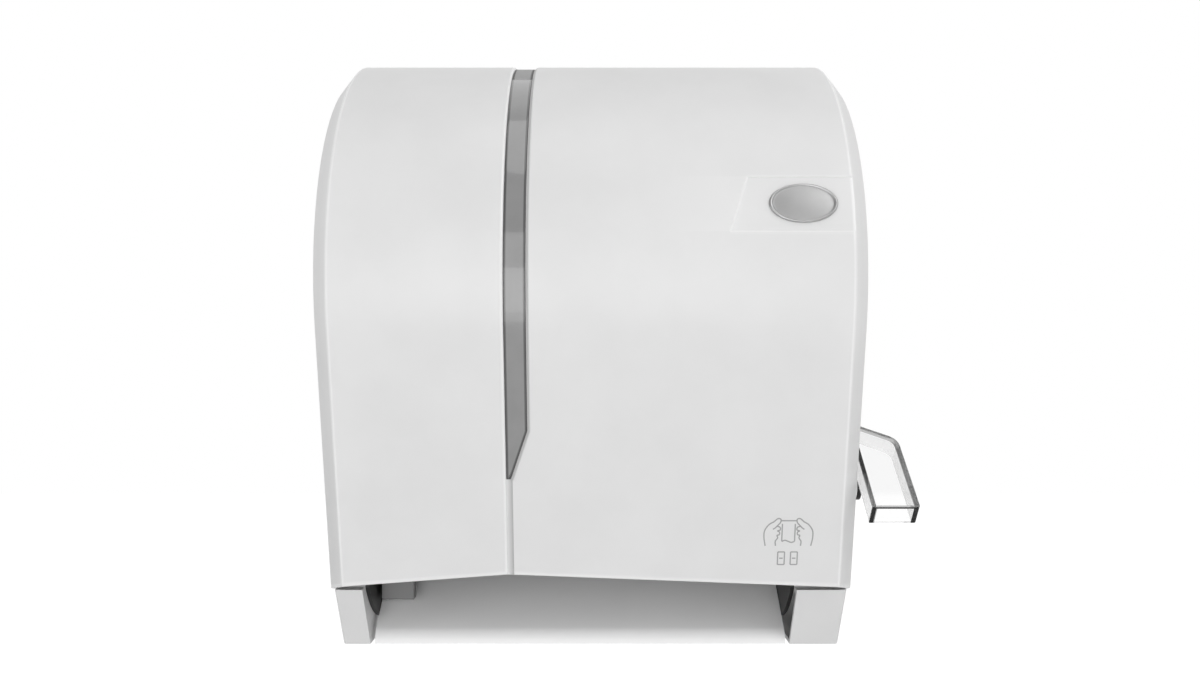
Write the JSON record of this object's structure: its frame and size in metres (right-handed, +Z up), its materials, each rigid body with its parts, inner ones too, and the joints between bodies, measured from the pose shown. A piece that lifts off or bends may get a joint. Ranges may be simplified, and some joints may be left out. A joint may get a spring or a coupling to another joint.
{
  "type": "lever paper towel dispenser",
  "caption": "Wall-mounted lever roll towel dispenser: domed swing-down cover with smoked window strip, side lever, geared feed roller, sprung pinch roller, tear bar and chute.",
  "frame": {"origin": "centre of the four wall screw holes on the back face, at half the body's height", "axes": "+X to the viewer's right, +Y into the wall, +Z up"},
  "size_m": [0.327, 0.22, 0.358],
  "materials": {
    "cover_white": "moulded white ABS, satin gloss",
    "frame_white": "moulded white ABS, satin",
    "smoke_window": "smoked translucent plastic, satin",
    "dark_trim": "dark grey moulded plastic",
    "badge_metal": "bare satin oval plate",
    "lock_chrome": "chromed zinc",
    "plated_steel": "zinc plated steel",
    "blade_steel": "stamped stainless steel",
    "black_plastic": "moulded black plastic",
    "grey_plastic": "moulded grey plastic",
    "gear_plastic": "acetal",
    "bush_plastic": "sintered bush",
    "roller_rubber": "soft rubber",
    "clear_plastic": "clear moulded plastic"
  },
  "bodies": {
    "chassis": {"back_plate": "frame_white", "left_side_frame": "frame_white", "right_side_frame": "frame_white", "hinge_pins": "plated_steel", "left_mechanism_plate": "black_plastic", "right_mechanism_plate": "black_plastic", "feed_bushes": "bush_plastic", "lever_bushes": "bush_plastic", "paper_chute": "frame_white", "edge_guide": "grey_plastic", "lever_bumper": "roller_rubber", "lever_spring": "plated_steel", "cradle_rod": "plated_steel", "cradle_springs": "plated_steel", "tear_bar": "blade_steel", "tear_bar_holder": "black_plastic", "left_roll_arm": "grey_plastic", "right_arm_bracket": "grey_plastic", "right_arm_pin": "plated_steel", "right_arm_spring": "plated_steel", "left_hub_pin": "plated_steel", "lock_keeper": "plated_steel", "frame_screws": "plated_steel", "arm_screws": "plated_steel", "keeper_screw": "plated_steel"},
    "cover": {"front_cover": "cover_white", "window_strip": "smoke_window", "lock_trim": "dark_trim", "badge": "badge_metal", "lock_housing": "lock_chrome", "lock_nut": "lock_chrome"},
    "lock": {"lock_plug": "lock_chrome", "lock_cam": "plated_steel"},
    "lever_arm": {"lever": "clear_plastic", "lever_shaft": "plated_steel", "sector_gear": "gear_plastic", "lever_washer": "plated_steel", "lever_screw": "plated_steel"},
    "pinion": {"drive_pinion": "gear_plastic"},
    "feed_roller": {"feed_shaft": "plated_steel", "feed_drum": "grey_plastic", "feed_sleeves": "roller_rubber", "clutch_hub": "plated_steel", "clutch_rollers": "plated_steel"},
    "cradle": {"pinch_cradle": "black_plastic"},
    "pinch_roller": {"pinch_shaft": "plated_steel", "pinch_drum": "roller_rubber"},
    "left_hub": {"left_core_hub": "grey_plastic"},
    "right_arm": {"right_roll_arm": "grey_plastic", "right_hub_pin": "plated_steel"},
    "right_hub": {"right_core_hub": "grey_plastic"}
  },
  "joints": [
    {"name": "cover_hinge", "type": "hinge", "parent": "chassis", "child": "cover", "pos_m": [0, -0.015, -0.165], "axis": [1, 0, 0], "range_deg": [0, 95]},
    {"name": "lock_turn", "type": "hinge", "parent": "cover", "child": "lock", "pos_m": [-0.04072, -0.034, 0.16], "axis": [0, 0, -1], "range_deg": [0, 90]},
    {"name": "lever_press", "type": "hinge", "parent": "chassis", "child": "lever_arm", "pos_m": [0.15, -0.06658, -0.08401], "axis": [1, 0, 0], "range_deg": [0, 35], "stiffness_Nm_per_rad": 0.4, "springref_deg": -20.05},
    {"name": "pinion_turn", "type": "hinge", "parent": "chassis", "child": "pinion", "pos_m": [0.125, -0.138, -0.11], "axis": [1, 0, 0], "range_deg": [-188, 0]},
    {"name": "feed_turn", "type": "hinge", "parent": "chassis", "child": "feed_roller", "pos_m": [0, -0.138, -0.11], "axis": [1, 0, 0], "continuous": true},
    {"name": "cradle_swing", "type": "hinge", "parent": "chassis", "child": "cradle", "pos_m": [0, -0.098, -0.106], "axis": [1, 0, 0], "range_deg": [0, 8], "stiffness_Nm_per_rad": 0.5, "springref_deg": -22.92},
    {"name": "pinch_turn", "type": "hinge", "parent": "cradle", "child": "pinch_roller", "pos_m": [0, -0.11646, -0.12509], "axis": [1, 0, 0], "continuous": true},
    {"name": "left_hub_turn", "type": "hinge", "parent": "chassis", "child": "left_hub", "pos_m": [-0.1, -0.104, 0.06], "axis": [1, 0, 0], "continuous": true},
    {"name": "right_arm_swing", "type": "hinge", "parent": "chassis", "child": "right_arm", "pos_m": [0.0983, -0.016, 0.06], "axis": [0, 0, 1], "range_deg": [0, 10], "stiffness_Nm_per_rad": 0.6, "springref_deg": -17.19},
    {"name": "right_hub_turn", "type": "hinge", "parent": "right_arm", "child": "right_hub", "pos_m": [0.09, -0.104, 0.06], "axis": [1, 0, 0], "continuous": true}
  ],
  "couplings": [
    {"joint": "pinion_turn", "follows": "lever_press", "ratio": -5.3333},
    {"joint": "pinch_turn", "follows": "feed_turn", "ratio": -1.8889}
  ]
}
